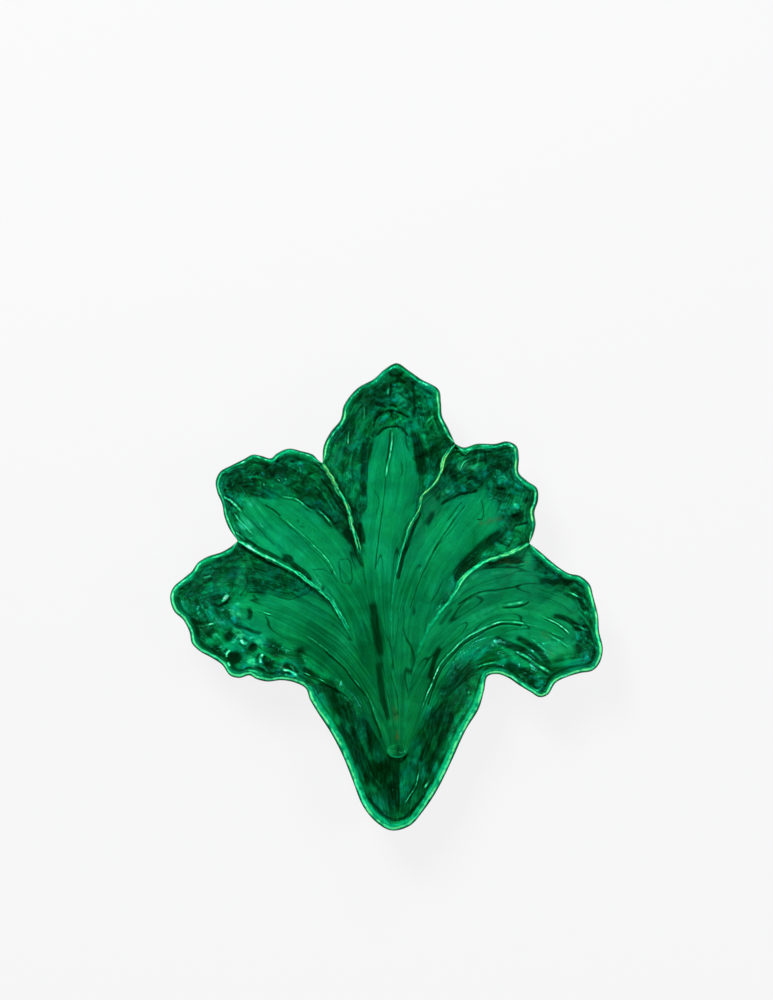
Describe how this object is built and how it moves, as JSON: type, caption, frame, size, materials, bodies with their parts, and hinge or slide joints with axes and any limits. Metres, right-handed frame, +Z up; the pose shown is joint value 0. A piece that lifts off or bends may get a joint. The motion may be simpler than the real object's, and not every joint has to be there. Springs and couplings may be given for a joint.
{
  "type": "salad platter",
  "caption": "Glazed earthenware serving platter shaped as a bunch of lettuce leaves that fan out of a deep stem cup, on an oval foot ring.",
  "frame": {"origin": "middle of the platter's outline, on the table that it stands on", "axes": "+Y towards the tip of the top leaf, away from the stem cup; +Z up; +X to the right, seen from above"},
  "size_m": [0.361, 0.39, 0.0483],
  "materials": {
    "green_glaze": "glossy translucent green glaze, darker where it pools and paler on ridges and rims",
    "bare_clay": "matt unglazed fired clay"
  },
  "bodies": {
    "root": {"leaf_top": "green_glaze", "leaf_upper_left": "green_glaze", "leaf_upper_right": "green_glaze", "leaf_lower_left": "green_glaze", "leaf_lower_right": "green_glaze", "stem_cup": "green_glaze", "stalk_end": "green_glaze", "foot_ring": "bare_clay"}
  },
  "joints": []
}
